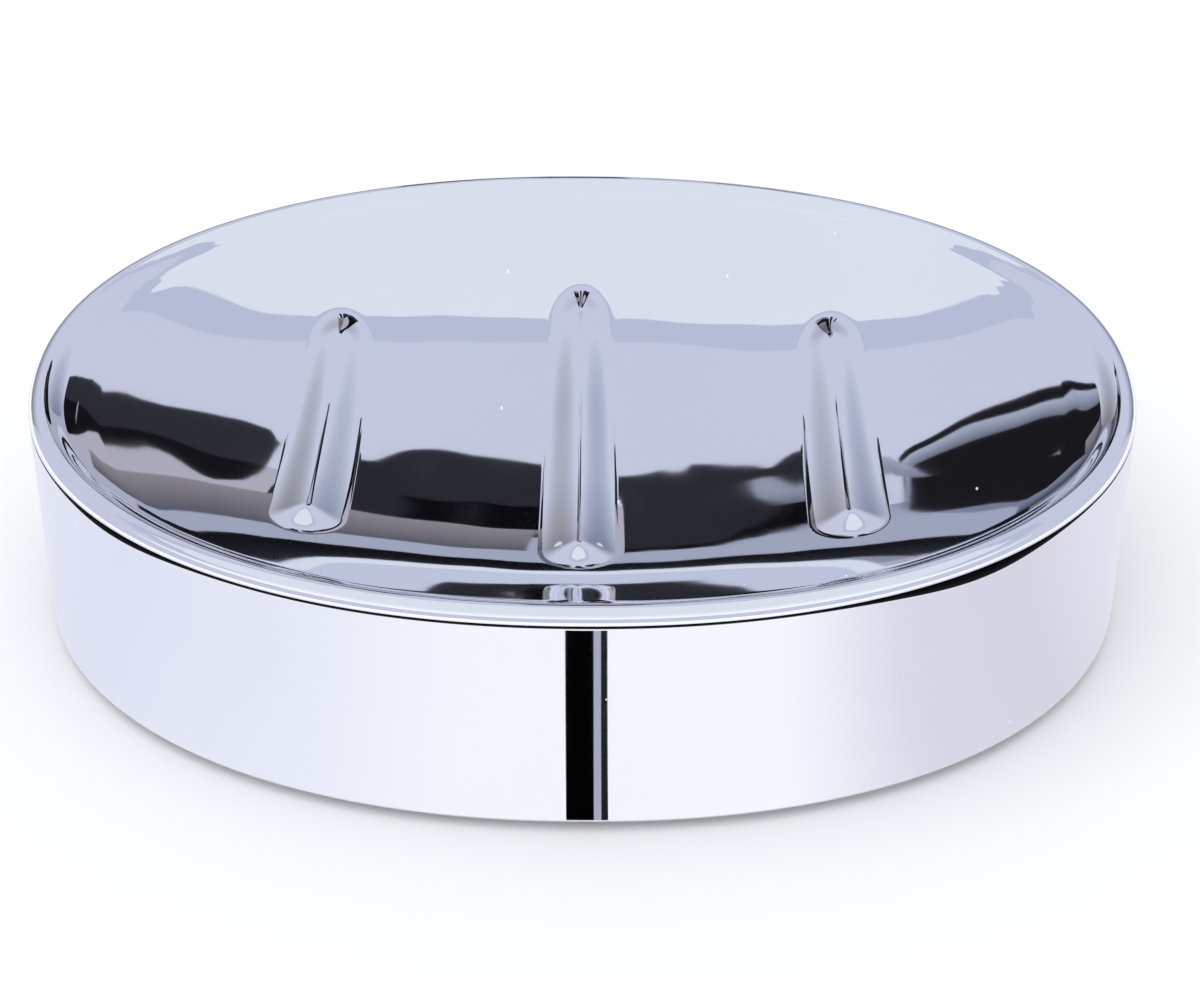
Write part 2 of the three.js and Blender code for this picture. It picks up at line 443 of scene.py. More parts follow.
class FleckEffect(EffectGroup):
    """Short bright flecks of dust and fine scratches, sparse and all leaning one way."""

    name = "dust_flecks"
    lean = math.radians(28)
    stretch = (1, 0.3, 1)

    def build(self, tree: bpy.types.NodeTree) -> None:
        """Fills the tree with a stretched Voronoi pattern, thinned by a random choice of cells."""
        self.sockets(tree, "Mask", Density=0.1, Size=0.1, Scale=400)
        nodes = tree.nodes
        source, out = nodes.new("NodeGroupInput"), nodes.new("NodeGroupOutput")
        turned = nodes.new("ShaderNodeMapping")
        turned.inputs["Rotation"].default_value = (0, 0, self.lean)
        turned.inputs["Scale"].default_value = self.stretch
        cells = nodes.new("ShaderNodeTexVoronoi")
        near = nodes.new("ShaderNodeMath")
        near.operation = "LESS_THAN"
        chosen = nodes.new("ShaderNodeMath")
        chosen.operation = "LESS_THAN"
        parts = nodes.new("ShaderNodeSeparateColor")
        both = nodes.new("ShaderNodeMath")
        both.operation = "MULTIPLY"
        link(
            tree,
            (source, "Vector", turned, "Vector"), (turned, "Vector", cells, "Vector"),
            (source, "Scale", cells, "Scale"), (cells, "Distance", near, 0), (source, "Size", near, 1),
            (cells, "Color", parts, "Color"), (parts, "Red", chosen, 0), (source, "Density", chosen, 1),
            (near, 0, both, 0), (chosen, 0, both, 1), (both, 0, out, "Mask"),
        )


class WaveEffect(EffectGroup):
    """A smooth, uneven height, from broad waves down to a fine grain."""

    name = "surface_waves"

    def build(self, tree: bpy.types.NodeTree) -> None:
        """Fills the tree with a broad and a fine noise, added by a share."""
        self.sockets(tree, "Height", Broad_Scale=60, Fine_Scale=900, Fine_Share=0.1)
        nodes = tree.nodes
        source, out = nodes.new("NodeGroupInput"), nodes.new("NodeGroupOutput")
        broad, fine = nodes.new("ShaderNodeTexNoise"), nodes.new("ShaderNodeTexNoise")
        broad.inputs["Detail"].default_value = 1
        fine.inputs["Detail"].default_value = 3
        mixed = nodes.new("ShaderNodeMix")
        link(
            tree,
            (source, "Vector", broad, "Vector"), (source, "Vector", fine, "Vector"),
            (source, "Broad Scale", broad, "Scale"), (source, "Fine Scale", fine, "Scale"),
            (source, "Fine Share", mixed, "Factor"), (broad, "Fac", mixed, "A"), (fine, "Fac", mixed, "B"),
            (mixed, "Result", out, "Height"),
        )


class Sheet:
    """A new material on the drawing board: its tree, its shader and short calls to add nodes."""

    def __init__(self, name: str) -> None:
        """Makes the material with a Principled shader on Object coordinates."""
        self.material = bpy.data.materials.new(name)
        self.material.use_nodes = True
        self.nodes = self.material.node_tree.nodes
        self.links = self.material.node_tree.links
        self.shader = self.nodes["Principled BSDF"]
        self.place = self.nodes.new("ShaderNodeTexCoord").outputs["Object"]

    def set(self, **values: object) -> None:
        """Sets uniform values on the shader's own sockets, underscores standing for spaces."""
        for name, value in values.items():
            self.shader.inputs[name.replace("_", " ")].default_value = value

    def effect(self, group: EffectGroup, **values: float) -> bpy.types.Node:
        """Adds a node group fed with the place.

        Args:
            group: The effect to add.
            values: Its inputs, underscores standing for spaces.

        Returns:
            The group's node.
        """
        node = self.nodes.new("ShaderNodeGroup")
        node.node_tree = group.tree()
        self.links.new(self.place, node.inputs["Vector"])
        for name, value in values.items():
            node.inputs[name.replace("_", " ")].default_value = value
        return node

    def blend(self, mask: bpy.types.NodeSocket, low: Colour, high: Colour, target: str) -> None:
        """Feeds a colour input with two colours mixed by a mask."""
        mixed = self.nodes.new("ShaderNodeMix")
        mixed.data_type = "RGBA"
        mixed.inputs["A"].default_value = (*low, 1)
        mixed.inputs["B"].default_value = (*high, 1)
        self.links.new(mask, mixed.inputs["Factor"])
        self.links.new(mixed.outputs["Result"], self.shader.inputs[target])

    def spread(self, mask: bpy.types.NodeSocket, low: float, high: float, target: str) -> None:
        """Feeds a number input with a mask stretched from low to high."""
        ranged = self.nodes.new("ShaderNodeMapRange")
        ranged.inputs["To Min"].default_value = low
        ranged.inputs["To Max"].default_value = high
        self.links.new(mask, ranged.inputs["Value"])
        self.links.new(ranged.outputs["Result"], self.shader.inputs[target])

    def clear_behind(self) -> None:
        """Lets the back of a sheet be looked through."""
        side = self.nodes.new("ShaderNodeNewGeometry")
        clear = self.nodes.new("ShaderNodeBsdfTransparent")
        mixed = self.nodes.new("ShaderNodeMixShader")
        link(
            self.material.node_tree,
            (side, "Backfacing", mixed, "Fac"), (self.shader, "BSDF", mixed, 1), (clear, "BSDF", mixed, 2),
            (mixed, "Shader", self.nodes["Material Output"], "Surface"),
        )

    def bump(self, height: bpy.types.NodeSocket, depth: float, strength: float = 1) -> None:
        """Feeds the normal with a bump of that depth in metres."""
        bump = self.nodes.new("ShaderNodeBump")
        bump.inputs["Strength"].default_value = strength
        bump.inputs["Distance"].default_value = depth
        self.links.new(height, bump.inputs["Height"])
        self.links.new(bump.outputs["Normal"], self.shader.inputs["Normal"])


# Finishes


@dataclass(frozen=True)
class PolishedSteel:
    """Mirror-bright steel with faint waves, breath marks and flecks of dust.

    Attributes:
        name: The material's name.
        bright: The reflection where the polish is clean.
        dulled: The reflection where it is breathed on.
        wave_depth: Depth of the polishing waves.
        wave_scale: Their broad scale, per metre.
        fleck_share: Share of cells that hold a fleck.
    """

    name: str
    bright: Colour = (0.945, 0.955, 0.99)
    dulled: Colour = (0.91, 0.92, 0.965)
    wave_depth: float = 0.0016 * MM
    wave_scale: float = 150
    fleck_share: float = 0.05

    def material(self) -> bpy.types.Material:
        """Builds the material."""
        sheet = Sheet(self.name)
        flecks = sheet.effect(FleckEffect(), Density=self.fleck_share, Size=0.07, Scale=520)
        breath = sheet.effect(WaveEffect(), Broad_Scale=38, Fine_Scale=420, Fine_Share=0.25)
        waves = sheet.effect(
            WaveEffect(), Broad_Scale=self.wave_scale, Fine_Scale=self.wave_scale * 9, Fine_Share=0.03
        )
        sheet.blend(breath.outputs["Height"], self.bright, self.dulled, "Base Color")
        sheet.spread(flecks.outputs["Mask"], 1.0, 0.25, "Metallic")
        sheet.spread(breath.outputs["Height"], 0.012, 0.05, "Roughness")
        sheet.bump(waves.outputs["Height"], self.wave_depth)
        return sheet.material


@dataclass(frozen=True)
class PaintedShadeSteel:
    """Near-black steel for the inside of the joint and the underside of the tray: painted shade, darker than
    the steel itself, so the joint and the gaps where it opens read as a black shadow line.
    """

    name: str = "painted_shade_steel"

    def material(self) -> bpy.types.Material:
        """Builds the material."""
        sheet = Sheet(self.name)
        scale = sheet.effect(WaveEffect(), Broad_Scale=220, Fine_Scale=2400, Fine_Share=0.5)
        # Painted shade: a near-black base colour where the joint and the tray's underside lie in shade.
        sheet.blend(scale.outputs["Height"], (0.010, 0.010, 0.012), (0.024, 0.023, 0.026), "Base Color")
        sheet.spread(scale.outputs["Height"], 0.55, 0.8, "Roughness")
        sheet.bump(scale.outputs["Height"], 0.02 * MM)
        sheet.set(Metallic=0.4)
        return sheet.material


@dataclass(frozen=True)
class MouldedPlastic:
    """Matte moulded plastic with a spark-eroded grain."""

    name: str = "moulded_plastic"

    def material(self) -> bpy.types.Material:
        """Builds the material."""
        sheet = Sheet(self.name)
        grain = sheet.effect(WaveEffect(), Broad_Scale=1400, Fine_Scale=4200, Fine_Share=0.4)
        cloud = sheet.effect(WaveEffect(), Broad_Scale=45, Fine_Scale=600, Fine_Share=0.2)
        sheet.blend(cloud.outputs["Height"], (0.045, 0.047, 0.052), (0.070, 0.073, 0.080), "Base Color")
        sheet.spread(grain.outputs["Height"], 0.42, 0.62, "Roughness")
        sheet.bump(grain.outputs["Height"], 0.03 * MM)
        return sheet.material


@dataclass(frozen=True)
class FootRubber:
    """Soft dark rubber with a fine bloom."""

    name: str = "foot_rubber"

    def material(self) -> bpy.types.Material:
        """Builds the material."""
        sheet = Sheet(self.name)
        bloom = sheet.effect(WaveEffect(), Broad_Scale=500, Fine_Scale=5200, Fine_Share=0.5)
        dust = sheet.effect(FleckEffect(), Density=0.12, Size=0.16, Scale=1500)
        sheet.blend(bloom.outputs["Height"], (0.018, 0.018, 0.019), (0.036, 0.036, 0.038), "Base Color")
        sheet.spread(dust.outputs["Mask"], 0.72, 0.95, "Roughness")
        sheet.bump(bloom.outputs["Height"], 0.02 * MM)
        return sheet.material


# The metal pieces


@dataclass
class SideBand:
    """The upright band of polished steel, turned in at the top for the tray and below for a ledge.

    Attributes:
        plan: The dish's outline.
        base: Height of the ledge's underside.
        top: Height of the band's top edge.
        sheet: The steel's thickness.
        ledge_reach: How far the ledge goes in.
        bend: Outside radius of the bend into the ledge.
        edge_break: Radius of the top edge.
        lip_reach: How far the top is turned in.
        sides: Points round a ring.
        hole_radius: Radius of the stem holes in the ledge.
        ledge_rings: Insets of the rings that carry the ledge out to the bend.
        rise_shares: Shares of the wall's height where its rings lie, dense towards the ends.
        lip_rings: Insets of the lip's rings before its end.
        joint_depth: How far under the top edge the turned-in top gets the near-black painted shade.
        openings: Where the joint opens, as turn and spread in degrees and depth.
    """

    plan: OvalPlan
    base: float
    top: float
    sheet: float = 0.8 * MM
    ledge_reach: float = 12 * MM
    bend: float = 1.2 * MM
    edge_break: float = 0.15 * MM
    lip_reach: float = 1.8 * MM
    sides: int = 512
    hole_radius: float = 2.3 * MM
    ledge_rings: tuple[float, ...] = (9 * MM, 6 * MM, 3 * MM, 1.8 * MM)
    rise_shares: tuple[float, ...] = (0.003, 0.012, 0.1, 0.3, 0.5, 0.7, 0.82, 0.9, 0.96, 0.985, 0.995, 1)
    lip_rings: tuple[float, ...] = (0.6 * MM, 1.2 * MM)
    joint_depth: float = 1.2 * MM
    openings: Triples = ((-49, 11, 1.1 * MM), (-141, 10, 0.6 * MM))

    def seam_dip(self, turn: float) -> float:
        """How far the top edge sinks under the rim, where the joint opens at the front's two shoulders."""
        degrees = math.degrees(turn)
        return sum(math.exp(-(((degrees - at) / spread) ** 2)) * depth for at, spread, depth in self.openings)

    def build(self, feet: Sequence[Vector], finish: PolishedSteel, joint: PaintedShadeSteel) -> None:
        """Models the band, bores the ledge for the feet and dresses it.

        Args:
            feet: Where the feet's stems pass.
            finish: The polished outside.
            joint: The near-black painted shade for the inside and the turned-in top.
        """
        skin = OvalSkin("steel_band", self.plan, self.sides, self.ledge_reach, self.base)
        for inset in (*self.ledge_rings, self.bend):
            skin.ring(inset, self.base)
        for angle in arc(8, 0, 90):
            skin.ring(self.bend * (1 - math.sin(angle)), self.base + self.bend * (1 - math.cos(angle)))
        shoulder = self.top - self.edge_break
        foot = self.base + self.bend
        for share in self.rise_shares:
            skin.ring(0, foot + (shoulder - foot) * share, lambda turn, s=share: self.seam_dip(turn) * s**6)
        for angle in arc(3, 0, 90):
            break_inset = self.edge_break * (1 - math.cos(angle))
            skin.ring(break_inset, shoulder + self.edge_break * math.sin(angle), self.seam_dip)
        for inset in (*self.lip_rings, self.lip_reach):
            skin.ring(inset, self.top, self.seam_dip)
        band = skin.done()
        band.data.materials.append(finish.material())
        band.data.materials.append(joint.material())
        # Painted shade: the turned-in top under the rim takes the near-black second material, and the
        # solidify gives it to the inside and the cut edges.
        for face in band.data.polygons:
            if face.center.z > self.top - self.joint_depth and face.normal.z > 0.6:
                face.material_index = 1
        apply_modifier(
            band, "SOLIDIFY", thickness=self.sheet, offset=-1, use_even_offset=True,
            material_offset=1, material_offset_rim=1,
        )
        bore(band, feet, self.hole_radius, self.base, self.base + self.sheet)
        smooth(band)
        dress(band, Slot.WALL, "side_band")


@dataclass
class SoapTray:
    """The pressed oval tray: a smooth bowl with three raised ribs and a rounded bead for a rim.

    Attributes:
        plan: The dish's outline.
        crown: Height of the rim's crown.
        seam: Height of the rim's outer edge.
        sheet: The steel's thickness.
        rim_width, crown_share, lip_rise: The rim's width, its crown's place in it, its edge over the seam.
        fillet, turn_rings: The soft step from the bowl to the rim: its width and its rings.
        thin_from, thin_share: The inset up to which the sheet is thinned at the rim, and to what share.
        bed_depth: How deep the bowl is under the seam at its middle.
        bed_slope, bed_power: The slope it would reach at the rim, and how fast that grows outwards.
        slope_limit, limit_power: The slope that it nears instead, and how sharply.
        hem_slope, hem_width: The slope added at the rim, and over what width.
        rib_places, rib_leans, rib_shifts: The ribs' x, their lean in x along y and their shift in y.
        rib_half, rib_taper: Half their width, and what it loses towards the far end.
        rib_end_inset, rib_cap, rib_far_cap: How far inside the outline they end, and their end caps' length.
        rib_rise, rib_end_drop: How high their crests stand, and how much less at the ends.
        crest_power, foot_power: How round the crest is, and how soft the flank's foot.
        skirt, skirt_width: How far the sheet round the ribs is drawn up, and how far out.
        block_half_length, block_half_width, blend_rings: The middle grid and the rings from it to the rim.
        wave, wave_fade: Height of the waves that pressing leaves, and the width over which they fade.
        wave_scales, fine_wave: Broad and fine scale in x and y per metre with the noise's z, and the
            share of the fine waves.
        probe: Distance over which the slope at the rim is measured.
        rib_margin, rib_cell, open_cell: How far past a rib its columns go, their width, any other cell's.
        end_cell, end_rows: Length of the cells at the ribs' ends, and how far from y = 0 they begin.
    """

    plan: OvalPlan
    crown: float
    seam: float
    sheet: float = 0.8 * MM
    rim_width: float = 3.6 * MM
    crown_share: float = 0.47
    lip_rise: float = 0.3 * MM
    fillet: float = 0.6 * MM
    turn_rings: int = 14
    thin_from: float = 1 * MM
    thin_share: float = 0.5
    bed_depth: float = 7.9 * MM
    bed_slope: float = 0.399
    bed_power: float = 1.84
    slope_limit: float = 0.284
    limit_power: float = 8
    hem_slope: float = 0.30
    hem_width: float = 3.4 * MM
    rib_places: tuple[float, ...] = (-30.7 * MM, -0.35 * MM, 30.6 * MM)
    rib_leans: tuple[float, ...] = (0.012, -0.012, 0)
    rib_shifts: tuple[float, ...] = (-0.7 * MM, 0.2 * MM, -0.7 * MM)
    rib_half: float = 4.2 * MM
    rib_taper: float = 0.2 * MM
    rib_end_inset: float = 17 * MM
    rib_cap: float = 4.6 * MM
    rib_far_cap: float = 7.6 * MM
    rib_rise: float = 1.75 * MM
    rib_end_drop: float = 0.2 * MM
    crest_power: float = 1.55
    foot_power: float = 1.75
    skirt: float = 0.05 * MM
    skirt_width: float = 7 * MM
    block_half_length: float = 37 * MM
    block_half_width: float = 32.2 * MM
    blend_rings: int = 18
    wave: float = 0.045 * MM
    wave_fade: float = 8 * MM
    wave_scales: Triples = ((62, 48, 3.7), (150, 120, 9))
    fine_wave: float = 0.35
    probe: float = 0.01 * MM
    rib_margin: float = 0.5 * MM
    rib_cell: float = 0.3 * MM
    open_cell: float = 0.9 * MM
    end_cell: float = 0.36 * MM
    end_rows: float = 18 * MM

    @property
    def bed_floor(self) -> float:
        """Height of the bowl's middle."""
        return self.seam - self.bed_depth

    @cached_property
    def bowl_plan(self) -> OvalPlan:
        """The plan of the bowl's level lines."""
        return self.plan.shrunk_from(self.rim_width)

    @cached_property
    def bed_rise(self) -> tuple[np.ndarray, np.ndarray]:
        """The bowl's cross-section: half lengths of its level lines and their rise over its middle."""
        longest = self.plan.half_length - self.rim_width
        reach = np.linspace(0, longest, 3000)
        free = self.bed_slope * (reach / longest) ** self.bed_power
        slope = free / (1 + (free / self.slope_limit) ** self.limit_power) ** (1 / self.limit_power)
        hem = np.clip(1 - (longest - reach) / self.hem_width, 0, 1)
        slope += self.hem_slope * hem**1.5
        steps = (slope[1:] + slope[:-1]) / 2 * np.diff(reach)
        return reach, np.concatenate([[0], np.cumsum(steps)])

    def bowl(self, x: np.ndarray, y: np.ndarray) -> np.ndarray:
        """Height of the bowl without its ribs."""
        reach = self.plan.half_length - self.bowl_plan.inset_at(x, y)
        return self.bed_floor + np.interp(reach, *self.bed_rise)

    def ribs(self, x: np.ndarray, y: np.ndarray) -> Iterator[tuple[np.ndarray, np.ndarray, float]]:
        """For each rib, how far points lie from its line, how far along it, and its straight half length."""
        for place, lean, shift in zip(self.rib_places, self.rib_leans, self.rib_shifts):
            reach = self.plan.ring_reach(self.rib_end_inset, place) - self.rib_cap
            along = y - shift
            past_far = np.maximum(along - reach + self.rib_far_cap - self.rib_cap, 0)
            past_near = np.maximum(-along - reach, 0)
            past = past_far * self.rib_half / self.rib_far_cap + past_near * self.rib_half / self.rib_cap
            yield np.hypot(x - place - lean * along, past), along, reach

    def rib_height(self, x: np.ndarray, y: np.ndarray) -> np.ndarray:
        """How high the ribs stand over the bowl, a little less towards their ends."""
        most = np.zeros_like(x)
        for away, along, reach in self.ribs(x, y):
            share = np.minimum(away / (self.rib_half - self.rib_taper * along / reach), 1)
            rise = self.rib_rise - self.rib_end_drop * (along / reach) ** 2
            most = np.maximum(most, rise * (1 - share**self.crest_power) ** self.foot_power)
        return most

    def skirt_height(self, x: np.ndarray, y: np.ndarray) -> np.ndarray:
        """How far the sheet round the ribs is drawn up with them."""
        most = np.zeros_like(x)
        for away, _, _ in self.ribs(x, y):
            most = np.maximum(most, np.exp(-((away / self.skirt_width) ** 2)))
        return self.skirt * most

    def unevenness(self, x: np.ndarray, y: np.ndarray) -> np.ndarray:
        """The slight waves that pressing leaves, fading out at the rim."""
        inset = self.plan.inset_at(x, y)
        fade = np.clip((inset - self.rim_width) / self.wave_fade, 0, 1) ** 2
        (broad_x, broad_y, broad_z), (fine_x, fine_y, fine_z) = self.wave_scales
        waves = []
        for a, b in zip(x, y):
            broad = noise.noise(Vector((a * broad_x, b * broad_y, broad_z)))
            waves.append(broad + self.fine_wave * noise.noise(Vector((a * fine_x, b * fine_y, fine_z))))
        return self.wave * fade * np.array(waves)

    def height(self, x: np.ndarray, y: np.ndarray) -> np.ndarray:
        """Height of the tray's upper side inside the rim."""
        return self.bowl(x, y) + self.skirt_height(x, y) + self.rib_height(x, y) + self.unevenness(x, y)

    def columns(self) -> list[float]:
        """The block's x lines, dense across the ribs."""
        half = self.rib_half + self.rib_margin
        edges = [edge for place in self.rib_places for edge in (place - half, place + half)]
        cells = [self.open_cell, self.rib_cell] * len(self.rib_places) + [self.open_cell]
        return spaced([-self.block_half_length, *edges, self.block_half_length], cells)

    def rows(self) -> list[float]:
        """The block's y lines, dense at the ribs' ends."""
        stops = [-self.block_half_width, -self.end_rows, self.end_rows, self.block_half_width]
        return spaced(stops, [self.end_cell, self.open_cell, self.end_cell])

    def rim_profile(self) -> list[tuple[float, float]]:
        """The rim's rings from the bowl out to the seam, as insets and levels."""
        crown_inset = self.rim_width * self.crown_share
        edge = self.rim_width + self.fillet
        reach = self.plan.half_length - np.array([edge, edge + self.probe])
        level, deeper = self.bowl(reach, np.zeros(2))
        run = edge - crown_inset
        climb = run * (level - deeper) / self.probe
        rings = []
        for step in range(1, self.turn_rings + 1):
            t = step / self.turn_rings
            rise = (2 * t**3 - 3 * t**2 + 1) * level + (t**3 - 2 * t**2 + t) * climb
            rings.append((edge - run * t, float(rise + (3 * t**2 - 2 * t**3) * self.crown)))
        lip = self.seam + self.lip_rise
        for angle in arc(14, 90, 0):
            rings.append((crown_inset * (1 - math.cos(angle)), lip + (self.crown - lip) * math.sin(angle)))
        return rings

    def _block(self) -> bpy.types.Object:
        """The middle of the tray: a grid with its lines moved to the columns and rows."""
        columns, rows = self.columns(), self.rows()
        tray = add_grid("pressed_tray", len(columns) - 1, len(rows) - 1)
        points = read_points(tray)
        along = np.rint((points[:, 0] + 1) / 2 * (len(columns) - 1)).astype(int)
        across = np.rint((points[:, 1] + 1) / 2 * (len(rows) - 1)).astype(int)
        points[:, 0] = np.array(columns)[along]
        points[:, 1] = np.array(rows)[across]
        write_points(tray, points)
        return tray

    def _widen(self, tray: bpy.types.Object) -> None:
        """Extrudes the block's border ring by ring out to the rim and over its crown."""
        mesh = edit(tray)
        layers = [mesh.verts.layers.float.new(name) for name in ("from_x", "from_y", "turn")]
        bpy.ops.mesh.select_all(action="DESELECT")
        bpy.ops.mesh.select_mode(type="EDGE")
        for edge in mesh.edges:
            if edge.is_boundary:
                edge.select = True
                for vertex in edge.verts:
                    vertex[layers[0]], vertex[layers[1]] = vertex.co.x, vertex.co.y
                    vertex[layers[2]] = self.plan.turn_of(vertex.co.x, vertex.co.y)
        mesh.select_flush_mode()
        edge_inset = self.rim_width + self.fillet
        rings = [(edge_inset, None, step / self.blend_rings) for step in range(1, self.blend_rings + 1)]
        rings += [(inset, level, 1.0) for inset, level in self.rim_profile()]
        for inset, level, share in rings:
            bpy.ops.mesh.extrude_edges_move()
            mesh = bmesh.from_edit_mesh(tray.data)
            from_x, from_y, turn = (mesh.verts.layers.float[n] for n in ("from_x", "from_y", "turn"))
            for vertex in mesh.verts:
                if vertex.select:
                    x, y = self.bowl_plan.point(inset, vertex[turn])
                    vertex.co.x = vertex[from_x] + (x - vertex[from_x]) * share
                    vertex.co.y = vertex[from_y] + (y - vertex[from_y]) * share
                    vertex.co.z = 0 if level is None else level
        for name in ("from_x", "from_y", "turn"):
            mesh.verts.layers.float.remove(mesh.verts.layers.float[name])
        leave_edit()

    def build(self, finish: PolishedSteel, joint: PaintedShadeSteel) -> None:
        """Models the tray and dresses it.

        Args:
            finish: The polished upper side.
            joint: The near-black painted shade for the underside.
        """
        tray = self._block()
        self._widen(tray)
        points = read_points(tray)
        bowl = points[:, 2] < self.bed_floor / 2
        points[bowl, 2] = self.height(points[bowl, 0], points[bowl, 1])
        write_points(tray, points)
        mend(tray)
        if tray.data.polygons[0].normal.z < 0:
            tray.data.flip_normals()
        tray.data.materials.append(finish.material())
        # Painted shade: the underside and the cut edges take the near-black second material through the
        # solidify.
        tray.data.materials.append(joint.material())
        thin = tray.vertex_groups.new(name="thickness")
        inset = self.plan.inset_at(points[:, 0], points[:, 1])
        share = np.clip((inset - self.thin_from) / (self.rim_width - self.thin_from), 0, 1)
        for index, value in enumerate(self.thin_share + (1 - self.thin_share) * share):
            thin.add([index], float(value), "REPLACE")
        apply_modifier(
            tray, "SOLIDIFY", thickness=self.sheet, offset=-1, vertex_group="thickness",
            material_offset=1, material_offset_rim=1,
        )
        tray.vertex_groups.clear()
        smooth(tray, 60)
        dress(tray, Slot.TRAY, "soap_tray")


# The underside


@dataclass
class BasePlate:
    """The moulded plate on the ledge: a sunk panel with a groove, a raised border and four bored holes.

    Attributes:
        plan: The dish's outline.
        low: Height of the plate's underside.
        high: Height of its upper side.
        inset: How far its edge lies inside the outline.
        edge: Rounding of its edges.
        panel_inset, panel_sink: The sunk panel's inset and depth.
        groove_inset, groove_width, groove_depth, groove_slope: The groove in it: its inset, its width,
            its depth and the run of its sides.
        fillets: Where the panel's border begins to rise and bends.
        ease_out, ease_in: The two runs of a softened edge.
        middle, inner: Insets of the two innermost rings.
        rail: Width of the flat border.
        sides: Points round a ring.
        hole_radius: Radius of the stem holes.
    """

    plan: OvalPlan
    low: float
    high: float
    inset: float
    edge: float = 0.3 * MM
    panel_inset: float = 15.5 * MM
    panel_sink: float = 0.5 * MM
    groove_inset: float = 21 * MM
    groove_width: float = 1.2 * MM
    groove_depth: float = 0.35 * MM
    groove_slope: float = 0.25 * MM
    fillets: tuple[float, float] = (0.5 * MM, 0.3 * MM)
    ease_out: float = 0.1 * MM
    ease_in: float = 0.08 * MM
    middle: float = 56 * MM
    inner: float = 45 * MM
    rail: float = 6 * MM
    sides: int = 192
    hole_radius: float = 2.3 * MM

    def build(self, feet: Sequence[Vector], finish: MouldedPlastic) -> None:
        """Models the plate and dresses it.

        Args:
            feet: Where the feet's stems pass.
            finish: Its plastic.
        """
        sunk = self.low + self.panel_sink
        groove = sunk + self.groove_depth
        skin = OvalSkin("base_panel", self.plan, self.sides, self.middle, sunk)
        skin.close_middle()
        bpy.ops.mesh.select_all(action="DESELECT")
        for edge in skin.mesh.edges:
            edge.select = True
        for inset, level in (
            (self.inner, sunk), (self.groove_inset + self.groove_width, sunk),
            (self.groove_inset + self.groove_width - self.groove_slope, groove),
            (self.groove_inset + self.groove_slope, groove), (self.groove_inset, sunk),
            (self.panel_inset + self.fillets[0], sunk),
            (self.panel_inset + self.fillets[1], sunk - self.ease_out),
            (self.panel_inset, self.low + self.ease_in), (self.panel_inset - self.ease_out, self.low),
            (self.inset + self.rail, self.low), (self.inset + self.edge, self.low),
            (self.inset + self.ease_in, self.low + self.ease_out), (self.inset, self.low + self.edge),
            (self.inset, self.high - self.edge), (self.inset + self.ease_out, self.high - self.ease_in),
            (self.inset + self.edge, self.high), (self.inset + self.rail, self.high),
            (self.inner, self.high), (self.middle, self.high),
        ):
            skin.ring(inset, level)
        skin.close_middle()
        plate = skin.done()
        plate.data.materials.append(finish.material())
        bore(plate, feet, self.hole_radius, self.low, self.high)
        smooth(plate, 35)
        dress(plate, Slot.PLASTIC, "base_plate")


@dataclass
class RubberFoot:
    """A pushed-in rubber foot: a ringed pad under the ledge, a stem and a barbed head.

    Attributes:
        pad_radius: Radius of the pad.
        pad_face: The pad's ringed underside, as radius and height from its middle out.
        pad_break: Chamfer of its upper edge.
        stem_radius: Radius of the stem.
        head_radius: Radius of the head at its base.
        edge: Rounding of the pad's lower edge.
        tip_share: Share of the head's radius that is left at its tip.
        brim_share: Share of the head's height where its curve begins.
    """

    pad_radius: float = 4.6 * MM
    pad_face: Pairs = (
        (0, 0.25 * MM), (1.4 * MM, 0.25 * MM), (1.7 * MM, 0.03 * MM), (2.4 * MM, 0.03 * MM),
        (2.6 * MM, 0.2 * MM), (3.0 * MM, 0.2 * MM), (3.2 * MM, 0),
    )
    pad_break: float = 0.12 * MM
    stem_radius: float = 2.0 * MM
    head_radius: float = 3.1 * MM
    edge: float = 0.3 * MM
    tip_share: float = 0.55
    brim_share: float = 0.15

    def profile(self, ledge: float, plate: float, tip: float) -> list[tuple[float, float]]:
        """The outline that is spun, as radius and height from the pad's middle up to the head's tip.

        Args:
            ledge: Height of the ledge's underside.
            plate: Height of the plate's upper side.
            tip: Height of the head's top.

        Returns:
            The outline's points.
        """
        points = list(self.pad_face)
        middle = self.pad_radius - self.edge
        points += [(middle + self.edge * math.sin(a), self.edge * (1 - math.cos(a))) for a in arc(5, 0, 90)]
        points += [(self.pad_radius, ledge - self.pad_break), (self.pad_radius - self.pad_break, ledge)]
        points += [(self.stem_radius, ledge), (self.stem_radius, plate), (self.head_radius, plate)]
        height = tip - plate
        for angle in arc(6, 0, 90):
            radius = self.head_radius * (self.tip_share + (1 - self.tip_share) * math.cos(angle))
            share = self.brim_share + (1 - self.brim_share) * math.sin(angle)
            points.append((radius, plate + height * share))
        points.append((0, tip))
        return points

    def model(self, ledge: float, plate: float, tip: float) -> bpy.types.Object:
        """Spins the outline into a foot at the origin.

        Args:
            ledge: Height of the ledge's underside.
            plate: Height of the plate's upper side.
            tip: Height of the head's top.

        Returns:
            The foot.
        """
        outline = self.profile(ledge, plate, tip)
        deselect()
        bpy.ops.mesh.primitive_circle_add(vertices=3, radius=self.pad_radius, fill_type="NOTHING")
        foot = bpy.context.object
        mesh = edit(foot)
        bmesh.ops.delete(mesh, geom=list(mesh.verts), context="VERTS")
        last = None
        for radius, level in outline:
            vertex = mesh.verts.new((radius, 0, level))
            if last is not None:
                mesh.edges.new((last, vertex))
            last = vertex
        bmesh.update_edit_mesh(foot.data)
        bpy.ops.mesh.select_all(action="SELECT")
        bpy.ops.mesh.spin(steps=48, angle=math.tau, center=(0, 0, 0), axis=(0, 0, 1))
        leave_edit()
        mend(foot, 0.002 * MM)
        smooth(foot, 35)
        return foot


